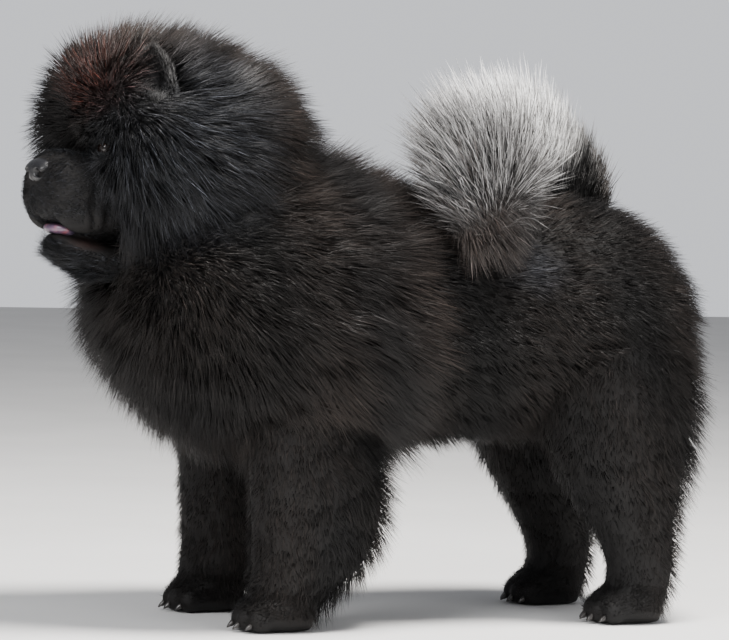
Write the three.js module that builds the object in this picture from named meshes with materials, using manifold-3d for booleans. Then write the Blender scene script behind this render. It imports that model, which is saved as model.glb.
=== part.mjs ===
// A chow chow in full coat, standing square, life size, as a still museum model.
// Millimetres, +Z up, nose towards -Y, the dog's left side towards +X.
// Each part of the body is one closed solid: a core of about half the coat's depth, with flat locks
// fused to it.

import * as THREE from "three";
import { mergeVertices } from "three/addons/utils/BufferGeometryUtils.js";
import Module from "manifold-3d";

const wasm = await Module();
wasm.setup();

// Driving sizes
const PAW_SPREAD = 100; // from the middle line to the middle of each paw
const FRONT_PAW_Y = -228;
const HIND_PAW_Y = 236;
const FAR_STEP = 10; // the right paws stand this much further forward than the left
const HEAD_TURN = 8; // degrees that the head looks to the dog's left
const NECK_PIVOT_Y = -300; // the head turns about the upright line through this point
const EYE = { x: 40, y: -448, z: 559, radius: 11, outward: 32 }; // the left one, and its turn in degrees
const EYE_HOLLOW = { across: 23, deep: 26, high: 15, out: 24 }; // half sizes, and how far out its middle is
const LIDS = { radius: 11.5, thick: 4.2, wide: 1.2, high: 0.78, out: 5 };
const EAR = { x: 88, y: -416, z: 628 }; // the foot of the left ear
const EAR_LEAN = { back: 12, aside: 10, outward: 24 }; // degrees
const NOSE = { y: -510, z: 531, across: 25, deep: 15, high: 15.5 }; // half sizes
const LIP_PADS = [
  { x: 25, y: -491, z: 501, across: 29, deep: 28, high: 27 },
  { x: 37, y: -474, z: 486, across: 21, deep: 34, high: 26 },
];
const LIP_GROOVE = { y: -520, z: 500, across: 1.6, deep: 12, high: 19 };
const LIP_RIM = { radius: 4, angle: 1.05, from: 0.3, to: 0.9 }; // along the lower jaw's edge
const JOIN_GAP = 0.4; // between solids that meet
const LOCK_GAP = 0.8; // the same, round a lock

const { PI } = Math;
const deg = THREE.MathUtils.degToRad;
const vec = (x, y, z) => new THREE.Vector3(x, y, z);

// Rows of the body's oval rings. Lengthwise rows are [y, middle height, half width, up, down].
const HEAD_ROWS = [
  [-470, 590, 0, 0, 0],
  [-466, 589, 56, 42, 52],
  [-450, 582, 98, 76, 92],
  [-415, 569, 124, 105, 118],
  [-360, 557, 136, 120, 130],
  [-295, 549, 132, 119, 120],
  [-235, 543, 102, 90, 88],
  [-205, 538, 50, 46, 46],
  [-198, 538, 0, 0, 0],
];
const NECK_ROWS = [
  [-410, 396, 0, 0, 0],
  [-404, 395, 68, 52, 44],
  [-378, 388, 126, 104, 84],
  [-318, 375, 160, 166, 132],
  [-250, 368, 172, 192, 150],
  [-180, 366, 170, 180, 152],
  [-110, 364, 160, 160, 148],
  [-60, 364, 120, 120, 110],
  [-50, 364, 0, 0, 0],
];
const TRUNK_ROWS = [
  [-190, 366, 0, 0, 0],
  [-180, 366, 110, 110, 110],
  [-120, 365, 150, 152, 147],
  [-40, 366, 149, 151, 143],
  [55, 370, 147, 150, 138],
  [140, 374, 149, 147, 140],
  [220, 370, 147, 136, 142],
  [288, 355, 124, 110, 120],
  [320, 342, 76, 70, 78],
  [327, 339, 0, 0, 0],
];
const MUZZLE_ROWS = [
  [-410, 505, 0, 0, 0],
  [-413, 505, 46, 44, 44],
  [-445, 508, 58, 49, 55],
  [-472, 510, 60, 46, 50],
  [-494, 512, 56, 43, 40],
  [-508, 512, 46, 37, 36],
  [-517, 512, 31, 27, 28],
  [-521, 512, 0, 0, 0],
];
const JAW_ROWS = [
  [-400, 426, 0, 0, 0],
  [-404, 426, 38, 16, 20],
  [-436, 432, 45, 16, 22],
  [-464, 439, 43, 15, 21],
  [-484, 446, 34, 12, 17],
  [-495, 451, 21, 8, 12],
  [-499, 452, 0, 0, 0],
];
const TONGUE_ROWS = [
  [-436, 450, 0, 0, 0],
  [-440, 451, 20, 5, 8],
  [-470, 459, 26, 6, 9],
  [-489, 465, 23, 5, 8],
  [-500, 466, 14, 4, 6],
  [-504, 465, 0, 0, 0],
];

// Upright rows are [z, x from the paw, y from the paw, half width, front, back].
const FORELEG_ROWS = [
  [310, -14, 12, 0, 0, 0],
  [296, -12, 12, 44, 44, 66],
  [240, -6, 12, 57, 52, 100],
  [180, -1, 12, 56, 47, 114],
  [120, 0, 12, 52, 43, 112],
  [75, 0, 10, 45, 41, 92],
  [45, 0, 6, 39, 40, 58],
  [24, 0, 4, 34, 34, 34],
  [18, 0, 4, 0, 0, 0],
];
const HINDLEG_ROWS = [
  [400, -20, -34, 0, 0, 0],
  [386, -18, -34, 42, 52, 62],
  [340, -12, -34, 64, 80, 98],
  [275, -8, -31, 71, 90, 112],
  [205, -4, -24, 65, 76, 96],
  [148, -2, -10, 52, 56, 68],
  [100, 0, 6, 42, 42, 50],
  [66, 0, 14, 39, 38, 42],
  [40, 0, 12, 38, 38, 38],
  [20, 0, 8, 32, 32, 32],
  [14, 0, 8, 0, 0, 0],
];
const PAW_ROWS = [
  [-44, 18, 0, 0, 0],
  [-41, 19, 22, 14, 22],
  [-26, 23, 37, 20, 27],
  [-4, 26, 41, 25, 30],
  [20, 26, 38, 26, 30],
  [37, 22, 24, 18, 26],
  [41, 21, 0, 0, 0],
];

// Each toe is [x, y, height of its middle, half width, half length, half height].
const TOES = [
  [-26, -30, 14, 12.5, 15.6, 17],
  [-9, -38, 14, 13, 16.2, 17],
  [9, -38, 14, 13, 16.2, 17],
  [26, -30, 14, 12.5, 15.6, 17],
];

// The tail lies forward over the back and its end drops on the left side.
const TAIL_PATH = [
  [0, 212, 455],
  [0, 190, 506],
  [8, 144, 538],
  [38, 82, 549],
  [80, 38, 532],
  [112, 15, 498],
  [126, 10, 458],
];
const TAIL_RADII = [30, 42, 46, 44, 38, 30, 16];
const TAIL_CENTRE = [50, 98, 418]; // what it curls round

// How far each coat's tips stand off its core
const COAT = { head: 46, neck: 54, trunk: 29, thigh: 36, foreleg: 24, tail: 86 };

// A seeded draw from 0 to 1
let seed = 20;
function random() {
  seed = (seed * 1664525 + 1013904223) % 4294967296;
  return seed / 4294967296;
}
const vary = (share) => 1 + share * (2 * random() - 1);

// Solids from geometry, and back
function solidOf(geometry) {
  const bare = geometry.clone();
  bare.deleteAttribute("normal");
  bare.deleteAttribute("uv");
  const merged = mergeVertices(bare, 1e-3);
  const numbers = merged.attributes.position.array;
  const corners = new Uint32Array(merged.index.array);
  const made = new wasm.Manifold(new wasm.Mesh({ numProp: 3, vertProperties: numbers, triVerts: corners }));
  if (made.volume() > 0) return made;
  corners.reverse();
  return new wasm.Manifold(new wasm.Mesh({ numProp: 3, vertProperties: numbers, triVerts: corners }));
}

function geometryOf(solid) {
  const mesh = solid.getMesh();
  const geometry = new THREE.BufferGeometry();
  geometry.setAttribute("position", new THREE.BufferAttribute(mesh.vertProperties.slice(), 3));
  geometry.setIndex(new THREE.BufferAttribute(mesh.triVerts.slice(), 1));
  geometry.computeVertexNormals();
  return geometry;
}

const union = (solids) => wasm.Manifold.union(solids);
const largest = (solid) =>
  solid.decompose().reduce((best, piece) => (piece.volume() > best.volume() ? piece : best));

// Moves each vertex out along its normal, so that a neighbour cut by the result keeps the gap
function grown(geometry, by) {
  if (!by) return geometry;
  const made = geometryOf(solidOf(geometry));
  const [p, n] = [made.attributes.position, made.attributes.normal];
  for (let i = 0; i < p.count; i++) {
    p.setXYZ(i, p.getX(i) + by * n.getX(i), p.getY(i) + by * n.getY(i), p.getZ(i) + by * n.getZ(i));
  }
  return made;
}

// A closed skin over rings of points. The rings have equally many points, but an end may be one point.
function ringSkin(rings) {
  const faces = [];
  let start = 0;
  for (let i = 0; i + 1 < rings.length; i++) {
    const [here, there] = [rings[i].length, rings[i + 1].length];
    const next = start + here;
    const sides = Math.max(here, there);
    for (let k = 0; k < sides; k++) {
      const m = (k + 1) % sides;
      if (here === 1) faces.push(start, next + k, next + m);
      else if (there === 1) faces.push(start + k, next, start + m);
      else faces.push(start + k, next + k, next + m, start + k, next + m, start + m);
    }
    start = next;
  }
  const geometry = new THREE.BufferGeometry().setFromPoints(rings.flat());
  geometry.setIndex(faces);
  return geometry;
}

// A smooth run through rows of numbers, from t = 0 at the first row to t = 1 at the last
function rowAt(rows, t) {
  const place = THREE.MathUtils.clamp(t, 0, 1) * (rows.length - 1);
  const i = Math.min(Math.floor(place), rows.length - 2);
  const f = place - i;
  const row = (k) => rows[THREE.MathUtils.clamp(k, 0, rows.length - 1)];
  const [a, b, c, d] = [row(i - 1), row(i), row(i + 1), row(i + 2)];
  return b.map((vb, k) => {
    const bend = 2 * a[k] - 5 * vb + 4 * c[k] - d[k] + f * (3 * (vb - c[k]) + d[k] - a[k]);
    return vb + 0.5 * f * (c[k] - a[k] + f * bend);
  });
}

const rounded = (value, power) => Math.sign(value) * Math.abs(value) ** power;

const SMALL_STEP = 0.02; // for the slope of a form, in t and in radians
const POLE_MARGIN = 0.01; // the slope isn't taken nearer a pole than this

// A body form is a run of oval rings. Its points are named by t, along it, and by a, the angle round it.
// On a lengthwise form a = 0 is the top, and on an upright one it faces forwards. PI / 2 is the left side.
// Locks follow it as far as `lockEnd`, and go straight on from there.
class Form {
  constructor(kind, rows, square = 2, lockEnd = 0.84) {
    this.kind = kind;
    this.rows = rows;
    this.power = 2 / square;
    this.lockEnd = lockEnd;
  }

  point(t, a) {
    const r = rowAt(this.rows, t).map((v, k) => (k > 1 && this.kind === "lengthwise" ? Math.max(v, 0) : v));
    const side = rounded(Math.sin(a), this.power);
    const rise = rounded(Math.cos(a), this.power);
    if (this.kind === "lengthwise") return vec(r[2] * side, r[0], r[1] + rise * (rise > 0 ? r[3] : r[4]));
    return vec(r[1] + Math.max(r[3], 0) * side, r[2] - rise * Math.max(rise > 0 ? r[4] : r[5], 0), r[0]);
  }

  // The step along the form, the step round it, and the way out of it
  frame(t, a) {
    const [t0, t1] = [Math.max(t - SMALL_STEP, POLE_MARGIN), Math.min(t + SMALL_STEP, 1 - POLE_MARGIN)];
    const along = this.point(t1, a).sub(this.point(t0, a)).divideScalar(t1 - t0);
    const [a0, a1] = [a - SMALL_STEP, a + SMALL_STEP];
    const round = this.point(t, a1).sub(this.point(t, a0)).divideScalar(a1 - a0);
    const out = along.clone().cross(round).normalize();
    const across = this.point(t, a).sub(this.point(t, a + PI));
    return { along, round, out: out.dot(across) < 0 ? out.negate() : out };
  }

  skin(steps, sides) {
    const ring = (t) => Array.from({ length: sides }, (_, k) => this.point(t, (2 * PI * k) / sides));
    const pole = (t) => [this.point(t, 0).add(this.point(t, PI)).multiplyScalar(0.5)];
    return ringSkin(Array.from({ length: steps + 1 }, (_, i) => (i % steps ? ring : pole)(i / steps)));
  }
}

// The tail is the same along its own curve: a = 0 is the outside of its curl.
class Tube extends Form {
  constructor(path, radii, centre) {
    super("tube", radii, 2, 0.97);
    this.curve = new THREE.CatmullRomCurve3(path.map((p) => vec(...p)));
    this.radii = radii.map((r) => [r]);
    this.centre = centre;
  }

  axes(t) {
    const tangent = this.curve.getTangent(t);
    const away = this.curve.getPoint(t).sub(this.centre);
    away.addScaledVector(tangent, -away.dot(tangent)).normalize();
    return { tangent, away, side: tangent.clone().cross(away) };
  }

  point(t, a) {
    const { away, side } = this.axes(t);
    const r = rowAt(this.radii, t)[0];
    const middle = this.curve.getPoint(t);
    return middle.addScaledVector(away, r * Math.cos(a)).addScaledVector(side, r * Math.sin(a));
  }

  skin(steps, sides) {
    const ring = (t) => Array.from({ length: sides }, (_, k) => this.point(t, (2 * PI * k) / sides));
    const rings = Array.from({ length: steps + 1 }, (_, i) => ring(i / steps));
    return ringSkin([[this.curve.getPoint(0)], ...rings, [this.curve.getPoint(1)]]);
  }
}

// A lock is a flat blade with a ridge. Its root is sunk in the form, it lies along the form at the angle
// `turn` from the form's own run, and it rises until its tip stands off by `lift`.
const LOCK_RINGS = [
  [0, 0.7],
  [0.36, 1],
  [0.72, 0.74],
];
const LOCK_SINK = 10; // depth of the root under the form
const LOCK_THICKNESS = 0.3; // of its width
const LOCK_RISE = 1.15; // above 1 the tip lifts faster than the root
const LOCK_RUN = 0.06; // share of a lock over which its run is measured
const WIDER = { edge: 1.6, root: 2, tip: 4 }; // a grown lock is this many times the gap larger
const LEAST_RADIUS = 20; // of the form, for the turn of a lock
const UNEVEN = { angle: 0.12, turn: 0.12, start: 0.012, length: 0.14, width: 0.12, lift: 0.16 };
const STAGGER = 0.25; // of the step between locks, one way and the other in turn

function lock(form, t, a, { length, width, lift, turn }, grow = 0) {
  const { along, round } = form.frame(t, a);
  const dt = (length * Math.cos(turn)) / along.length();
  const da = (length * Math.sin(turn)) / Math.max(round.length(), LEAST_RADIUS);
  const middle = (s) => {
    const ts = Math.min(t + dt * s, form.lockEnd);
    const here = form.frame(ts, a + da * s);
    const rise = -LOCK_SINK + (LOCK_SINK + lift) * s ** LOCK_RISE;
    const past = here.along.clone().multiplyScalar(t + dt * s - ts);
    return form.point(ts, a + da * s).add(past).addScaledVector(here.out, rise);
  };
  const rings = LOCK_RINGS.map(([s, share]) => {
    const here = middle(s);
    const run = middle(s + LOCK_RUN).sub(here).normalize();
    const { out } = form.frame(Math.min(t + dt * s, form.lockEnd), a + da * s);
    const wide = run.clone().cross(out).normalize();
    const high = wide.clone().cross(run).normalize();
    const half = (width * share) / 2;
    const edge = (side) =>
      here.clone().addScaledVector(wide, side * (half + WIDER.edge * grow)).addScaledVector(high, -grow);
    const ridge = here.clone().addScaledVector(high, 2 * half * LOCK_THICKNESS + WIDER.edge * grow);
    return [edge(1), ridge, edge(-1)];
  });
  const beyond = (from, to, by) => to.clone().addScaledVector(to.clone().sub(from).normalize(), by);
  const root = beyond(middle(LOCK_RUN), middle(0), WIDER.root * grow);
  const tip = beyond(middle(1 - LOCK_RUN), middle(1), WIDER.tip * grow);
  return ringSkin([[root], ...rings, [tip]]);
}

// Rings of locks round a form. `from` and `to` are angles, and the locks turn downwards on both sides
// by `fall`. Each lock comes as itself and as its wider copy.
function lockRings(form, rows, place = (geometry) => geometry) {
  return rows.flatMap(({ t, from, to, count, length, width, lift, fall = 0 }, row) => {
    const gap = (to - from) / count;
    return Array.from({ length: count }, (_, i) => {
      const aside = row % 2 ? STAGGER : -STAGGER;
      const a = from + gap * (i + 0.5 + aside + UNEVEN.angle * (vary(1) - 1));
      const shape = {
        length: length * vary(UNEVEN.length),
        width: width * vary(UNEVEN.width),
        lift: lift * vary(UNEVEN.lift),
        turn: fall * Math.sin(a) + UNEVEN.turn * (vary(1) - 1),
      };
      const start = t + UNEVEN.start * (vary(1) - 1);
      return [0, LOCK_GAP].map((grow) => place(lock(form, start, a, shape, grow)));
    });
  });
}

const ball = (x, y, z, rx, ry, rz, across = 12, up = 8) =>
  new THREE.SphereGeometry(1, across, up).rotateX(PI / 2).scale(rx, ry, rz).translate(x, y, z);

// The body's forms
const head = new Form("lengthwise", HEAD_ROWS, 2, 0.8);
const neck = new Form("lengthwise", NECK_ROWS, 2, 0.74);
const trunk = new Form("lengthwise", TRUNK_ROWS);
const muzzle = new Form("lengthwise", MUZZLE_ROWS, 2.3);
const jaw = new Form("lengthwise", JAW_ROWS, 2.2);
const tongue = new Form("lengthwise", TONGUE_ROWS, 2.4);
const tail = new Tube(TAIL_PATH, TAIL_RADII, vec(...TAIL_CENTRE));

const SIDES = [
  { name: "left", side: 1, step: 0 },
  { name: "right", side: -1, step: -FAR_STEP },
];

function legForm(rows, { side, step }, pawY) {
  const placed = rows.map(([z, x, y, ...radii]) => [z, side * (PAW_SPREAD + x), pawY + step + y, ...radii]);
  return new Form("upright", placed);
}

// The head is turned as a whole about the upright line through the neck.
const turned = (geometry) =>
  geometry.translate(0, -NECK_PIVOT_Y, 0).rotateZ(deg(HEAD_TURN)).translate(0, NECK_PIVOT_Y, 0);

// A solid of several parts, and the same with each part grown, which cuts the neighbours
function pair(parts, locks = []) {
  return {
    solid: union([...parts, ...locks.map(([plain]) => plain)].map(solidOf)),
    cutter: union([...parts.map((part) => grown(part, JOIN_GAP)), ...locks.flat()].map(solidOf)),
  };
}

const cut = (made, ...neighbours) => {
  made.solid = neighbours.reduce((left, neighbour) => left.subtract(neighbour.cutter), made.solid);
  return made;
};

const FLOOR_SPAN = 3000;
const FLOOR_DEPTH = 200;
const floorBlock = solidOf(
  new THREE.BoxGeometry(FLOOR_SPAN, FLOOR_SPAN, FLOOR_DEPTH).translate(0, 0, -FLOOR_DEPTH / 2),
);

// Rings along each form and points round each ring
const FACETS = {
  head: [9, 14],
  neck: [8, 14],
  trunk: [8, 14],
  foreleg: [8, 9],
  thigh: [9, 10],
  tail: [9, 9],
  muzzle: [9, 14],
  jaw: [7, 12],
  tongue: [7, 10],
  paw: [6, 9],
  ear: [7, 10],
};

// Paws: a flat-soled pad with four toes
function makePaw({ side, step }, pawY) {
  const [x, y] = [side * PAW_SPREAD, pawY + step];
  const sole = new Form("lengthwise", PAW_ROWS, 2.3).skin(...FACETS.paw).translate(x, y, 0);
  const toes = TOES.map(([dx, dy, dz, ...radii]) => ball(x + dx, y + dy, dz, ...radii, 6, 4));
  const paw = pair([sole, ...toes]);
  paw.solid = paw.solid.subtract(floorBlock);
  return paw;
}

// Eyes: a ball that looks a little outwards, in a hollow of the head with a ring of lids
function eyeParts(side) {
  const place = vec(side * EYE.x, EYE.y, EYE.z);
  const gaze = vec(side * Math.sin(deg(EYE.outward)), -Math.cos(deg(EYE.outward)), 0);
  const look = new THREE.Quaternion().setFromUnitVectors(vec(0, -1, 0), gaze);
  const put = (geometry, out) =>
    geometry.applyQuaternion(look).translate(...place.clone().addScaledVector(gaze, out));
  const { radius } = EYE;
  const { across, deep, high, out } = EYE_HOLLOW;
  const rim = new THREE.TorusGeometry(LIDS.radius, LIDS.thick, 4, 12).rotateX(PI / 2);
  return {
    globe: turned(put(ball(0, 0, 0, radius, radius, radius, 10, 7), 0)),
    hollow: turned(put(ball(0, 0, 0, across, deep, high, 10, 6), out)),
    lids: turned(put(rim.scale(LIDS.wide, 1, LIDS.high), LIDS.out)),
  };
}

// Ears: a thick rounded leaf, hollow in front
const EAR_ROWS = [
  [-34, 0, 0, 0, 0],
  [-31, 0, 27, 12, 12],
  [0, 0, 32, 14, 13],
  [22, 0, 27, 12, 12],
  [40, 0, 16, 9, 9],
  [48, 0, 8, 5, 5],
  [51, 0, 0, 0, 0],
];
const EAR_CUP = [0, -15, 12, 19, 17, 27]; // place and half sizes of the hollow

function earPlace(side, geometry) {
  const { back, aside, outward } = EAR_LEAN;
  geometry.rotateX(deg(back)).rotateY(deg(side * aside)).rotateZ(deg(side * outward));
  return turned(geometry.translate(side * EAR.x, EAR.y, EAR.z));
}

function makeEar(side) {
  const leaf = new Form("lengthwise", EAR_ROWS).skin(...FACETS.ear).rotateX(PI / 2);
  const cup = ball(...EAR_CUP);
  const ear = pair([earPlace(side, leaf)]);
  ear.solid = ear.solid.subtract(solidOf(earPlace(side, cup)));
  return ear;
}

// Nose: a leathery pad with two nostrils that run out into slits at the sides
const NOSTRIL = { x: 10.5, ahead: 14.3, down: 3, radii: [5.5, 9, 5] };
const NOSE_SLIT = { x: 19, ahead: 9.8, down: 6, radii: [7, 8, 2.2] };

function makeNose() {
  const { y, z, across, deep, high } = NOSE;
  const nose = pair([turned(ball(0, y, z, across, deep, high, 12, 8))]);
  const dent = (side, { x, ahead, down, radii }) =>
    turned(ball(side * x, y - ahead, z - down, ...radii, 8, 4));
  for (const side of [1, -1]) {
    const hole = dent(side, NOSTRIL);
    const slit = dent(side, NOSE_SLIT);
    nose.solid = nose.solid.subtract(union([solidOf(hole), solidOf(slit)]));
  }
  return nose;
}

// Muzzle: short and broad, with padded, hanging upper lips and a groove under the nose
function makeMuzzle() {
  const pads = LIP_PADS.flatMap(({ x, y, z, across, deep, high }) =>
    [1, -1].map((side) => turned(ball(side * x, y, z, across, deep, high, 9, 6))),
  );
  const made = pair([turned(muzzle.skin(...FACETS.muzzle)), ...pads]);
  const { across: thin, deep: inward, high: tall } = LIP_GROOVE;
  const groove = turned(ball(0, LIP_GROOVE.y, LIP_GROOVE.z, thin, inward, tall, 6, 6));
  made.solid = made.solid.subtract(solidOf(groove));
  return made;
}

// Lower jaw: its lip is a low rim round the upper edge
const RIM_STEPS = 6;
const RIM_SIDES = 5;

function makeJaw() {
  const { radius, angle, from, to } = LIP_RIM;
  const along = Array.from({ length: RIM_STEPS + 1 }, (_, i) => from + ((to - from) * i) / RIM_STEPS);
  const edge = (a) => along.map((t) => jaw.point(t, a));
  const rim = new THREE.CatmullRomCurve3([...edge(angle), ...edge(-angle).reverse()]);
  const corners = Array.from({ length: RIM_SIDES }, (_, k) => (2 * PI * k) / RIM_SIDES);
  const onCircle = (c) => new THREE.Vector2(radius * Math.cos(c), radius * Math.sin(c));
  const bead = new THREE.Shape(corners.map(onCircle));
  const path = { steps: 2 * RIM_STEPS, bevelEnabled: false, extrudePath: rim };
  const lip = new THREE.ExtrudeGeometry(bead, path);
  return pair([turned(jaw.skin(...FACETS.jaw)), turned(lip)]);
}

// The head's small parts
const eyes = SIDES.map(({ side }) => eyeParts(side));
const globes = eyes.map((eye) => pair([eye.globe]));
const ears = SIDES.map(({ side }) => makeEar(side));
const nose = makeNose();
const lowerJaw = makeJaw();
const upperJaw = cut(makeMuzzle(), nose, ...globes);
const tonguePair = cut(pair([turned(tongue.skin(...FACETS.tongue))]), lowerJaw, upperJaw);

// The coat's locks. Each row is a ring of them at t along the form.
const TURN = 2 * PI;
const HEAD_LOCKS = [
  { t: 0.2, from: -2.5, to: 2.5, count: 12, length: 76, width: 52, lift: COAT.head * 1.15, fall: 0.35 },
  { t: 0.37, from: -2.7, to: 2.7, count: 12, length: 88, width: 56, lift: COAT.head, fall: 0.4 },
  { t: 0.55, from: -2.3, to: 2.3, count: 10, length: 92, width: 58, lift: COAT.head, fall: 0.45 },
  { t: 0.73, from: -1.7, to: 1.7, count: 6, length: 80, width: 54, lift: COAT.head * 0.8, fall: 0.4 },
];
const NECK_LOCKS = [
  { t: 0.17, from: 0.9, to: TURN - 0.9, count: 9, length: 88, width: 70, lift: COAT.neck, fall: 0.95 },
  { t: 0.33, from: 0.5, to: TURN - 0.5, count: 11, length: 96, width: 74, lift: COAT.neck, fall: 0.7 },
  { t: 0.51, from: 0, to: TURN, count: 12, length: 96, width: 76, lift: COAT.neck, fall: 0.5 },
  { t: 0.68, from: 0, to: TURN, count: 12, length: 80, width: 76, lift: COAT.neck * 0.9, fall: 0.35 },
];
const TRUNK_LOCKS = [
  { t: 0.3, from: 0, to: TURN, count: 7, length: 84, width: 80, lift: COAT.trunk, fall: 0.5 },
  { t: 0.45, from: 0, to: TURN, count: 7, length: 84, width: 80, lift: COAT.trunk, fall: 0.5 },
  { t: 0.6, from: -2, to: 2, count: 6, length: 78, width: 76, lift: COAT.trunk, fall: 0.4 },
  { t: 0.76, from: -2.4, to: 2.4, count: 6, length: 66, width: 74, lift: COAT.trunk * 1.1, fall: 0.5 },
];
const thighLocks = (outer) => [
  { t: 0.17, from: PI - 1.1, to: PI + 1.1, count: 3, length: 74, width: 66, lift: COAT.thigh },
  { t: 0.28, from: PI - 1.2, to: PI + 1.2, count: 4, length: 74, width: 62, lift: COAT.thigh },
  { t: 0.39, from: PI - 1.1, to: PI + 1.1, count: 3, length: 66, width: 54, lift: COAT.thigh * 0.8 },
  { t: 0.26, from: outer - 0.9, to: outer + 0.5, count: 2, length: 70, width: 62, lift: COAT.thigh * 0.6 },
];
const forelegLocks = [
  { t: 0.22, from: PI - 1.1, to: PI + 1.1, count: 3, length: 64, width: 56, lift: COAT.foreleg * 1.3 },
  { t: 0.35, from: PI - 1.2, to: PI + 1.2, count: 4, length: 64, width: 50, lift: COAT.foreleg * 1.3 },
  { t: 0.49, from: PI - 1, to: PI + 1, count: 3, length: 56, width: 42, lift: COAT.foreleg },
];
const TAIL_LOCKS = [
  { t: 0.12, from: -1.4, to: 1.4, count: 3, length: 70, width: 46, lift: COAT.tail * 0.7 },
  { t: 0.28, from: -1.8, to: 1.8, count: 4, length: 84, width: 48, lift: COAT.tail * 0.95 },
  { t: 0.46, from: -2.1, to: 2.1, count: 5, length: 90, width: 46, lift: COAT.tail },
  { t: 0.64, from: -2.3, to: 2.3, count: 5, length: 84, width: 42, lift: COAT.tail * 0.9 },
  { t: 0.81, from: -2.6, to: 2.6, count: 4, length: 62, width: 36, lift: COAT.tail * 0.6 },
];

const headPair = pair([turned(head.skin(...FACETS.head))], lockRings(head, HEAD_LOCKS, turned));
headPair.solid = headPair.solid.subtract(union(eyes.map((eye) => solidOf(eye.hollow))));
headPair.solid = headPair.solid.add(union(eyes.map((eye) => solidOf(eye.lids))));
cut(headPair, upperJaw, lowerJaw, tonguePair, ...globes, ...ears);

const neckPair = pair([neck.skin(...FACETS.neck)], lockRings(neck, NECK_LOCKS));
cut(neckPair, headPair, lowerJaw, upperJaw, tonguePair);

const paws = [];
const forelegs = [];
const thighs = [];
for (const place of SIDES) {
  const forepaw = makePaw(place, FRONT_PAW_Y);
  const foreleg = legForm(FORELEG_ROWS, place, FRONT_PAW_Y);
  const forelegPair = pair([foreleg.skin(...FACETS.foreleg)], lockRings(foreleg, forelegLocks));
  cut(forelegPair, forepaw, neckPair);
  const hindpaw = makePaw(place, HIND_PAW_Y);
  const thigh = legForm(HINDLEG_ROWS, place, HIND_PAW_Y);
  const outer = (place.side * PI) / 2;
  const thighPair = pair([thigh.skin(...FACETS.thigh)], lockRings(thigh, thighLocks(outer)));
  cut(thighPair, hindpaw);
  paws.push({ name: `paw_front_${place.name}`, made: forepaw });
  paws.push({ name: `paw_hind_${place.name}`, made: hindpaw });
  forelegs.push({ name: `leg_front_${place.name}`, made: forelegPair });
  thighs.push({ name: `leg_hind_${place.name}`, made: thighPair });
}
const legs = [...forelegs, ...thighs];

const tailPair = cut(pair([tail.skin(...FACETS.tail)], lockRings(tail, TAIL_LOCKS)), neckPair);
const trunkPair = pair([trunk.skin(...FACETS.trunk)], lockRings(trunk, TRUNK_LOCKS));
cut(trunkPair, neckPair, tailPair, ...legs.map((leg) => leg.made));

// Materials: each is a colour and a roughness
const paint = (color, roughness) => new THREE.MeshStandardMaterial({ color, roughness, metalness: 0 });
const COAT_BLACK = [0x1d1b1a, 0.9];
const PLUME_GREY = [0x8c8a88, 0.9];
const SHORT_FUR = [0x161515, 0.8];
const NOSE_BLACK = [0x202124, 0.35];
const EYE_BROWN = [0x1a0f08, 0.08];
const TONGUE_BLUE = [0x2a2a38, 0.4];

const nodes = [
  ["head", headPair, COAT_BLACK],
  ["muzzle", upperJaw, SHORT_FUR],
  ["lower_jaw", lowerJaw, SHORT_FUR],
  ["nose", nose, NOSE_BLACK],
  ["tongue", tonguePair, TONGUE_BLUE],
  ["eye_left", globes[0], EYE_BROWN],
  ["eye_right", globes[1], EYE_BROWN],
  ["ear_left", ears[0], SHORT_FUR],
  ["ear_right", ears[1], SHORT_FUR],
  ["neck", neckPair, COAT_BLACK],
  ["torso", trunkPair, COAT_BLACK],
  ["tail", tailPair, PLUME_GREY],
  ...legs.map(({ name, made }) => [name, made, COAT_BLACK]),
  ...paws.map(({ name, made }) => [name, made, SHORT_FUR]),
];

const dog = new THREE.Group();
for (const [name, made, [color, roughness]] of nodes) {
  const mesh = new THREE.Mesh(geometryOf(largest(made.solid)), paint(color, roughness));
  mesh.name = name;
  dog.add(mesh);
}

// The origin is on the floor, under the middle of the whole.
const box = new THREE.Box3().setFromObject(dog);
dog.position.set(-(box.min.x + box.max.x) / 2, -(box.min.y + box.max.y) / 2, -box.min.z);

export default dog;
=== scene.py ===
# A black chow chow in full coat, standing, as a still life-size model.
# Metres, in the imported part's frame: +Z up, nose towards -Y, the dog's left side towards +X.
# The body's forms repeat the part's own rows of oval rings, in millimetres. One skin is made over them all,
# and the coat is many thousands of thin closed tufts that are rooted on that skin.

import math

import bmesh
import bpy
import numpy as np
from mathutils import Matrix, Vector
from mathutils.bvhtree import BVHTree

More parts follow.
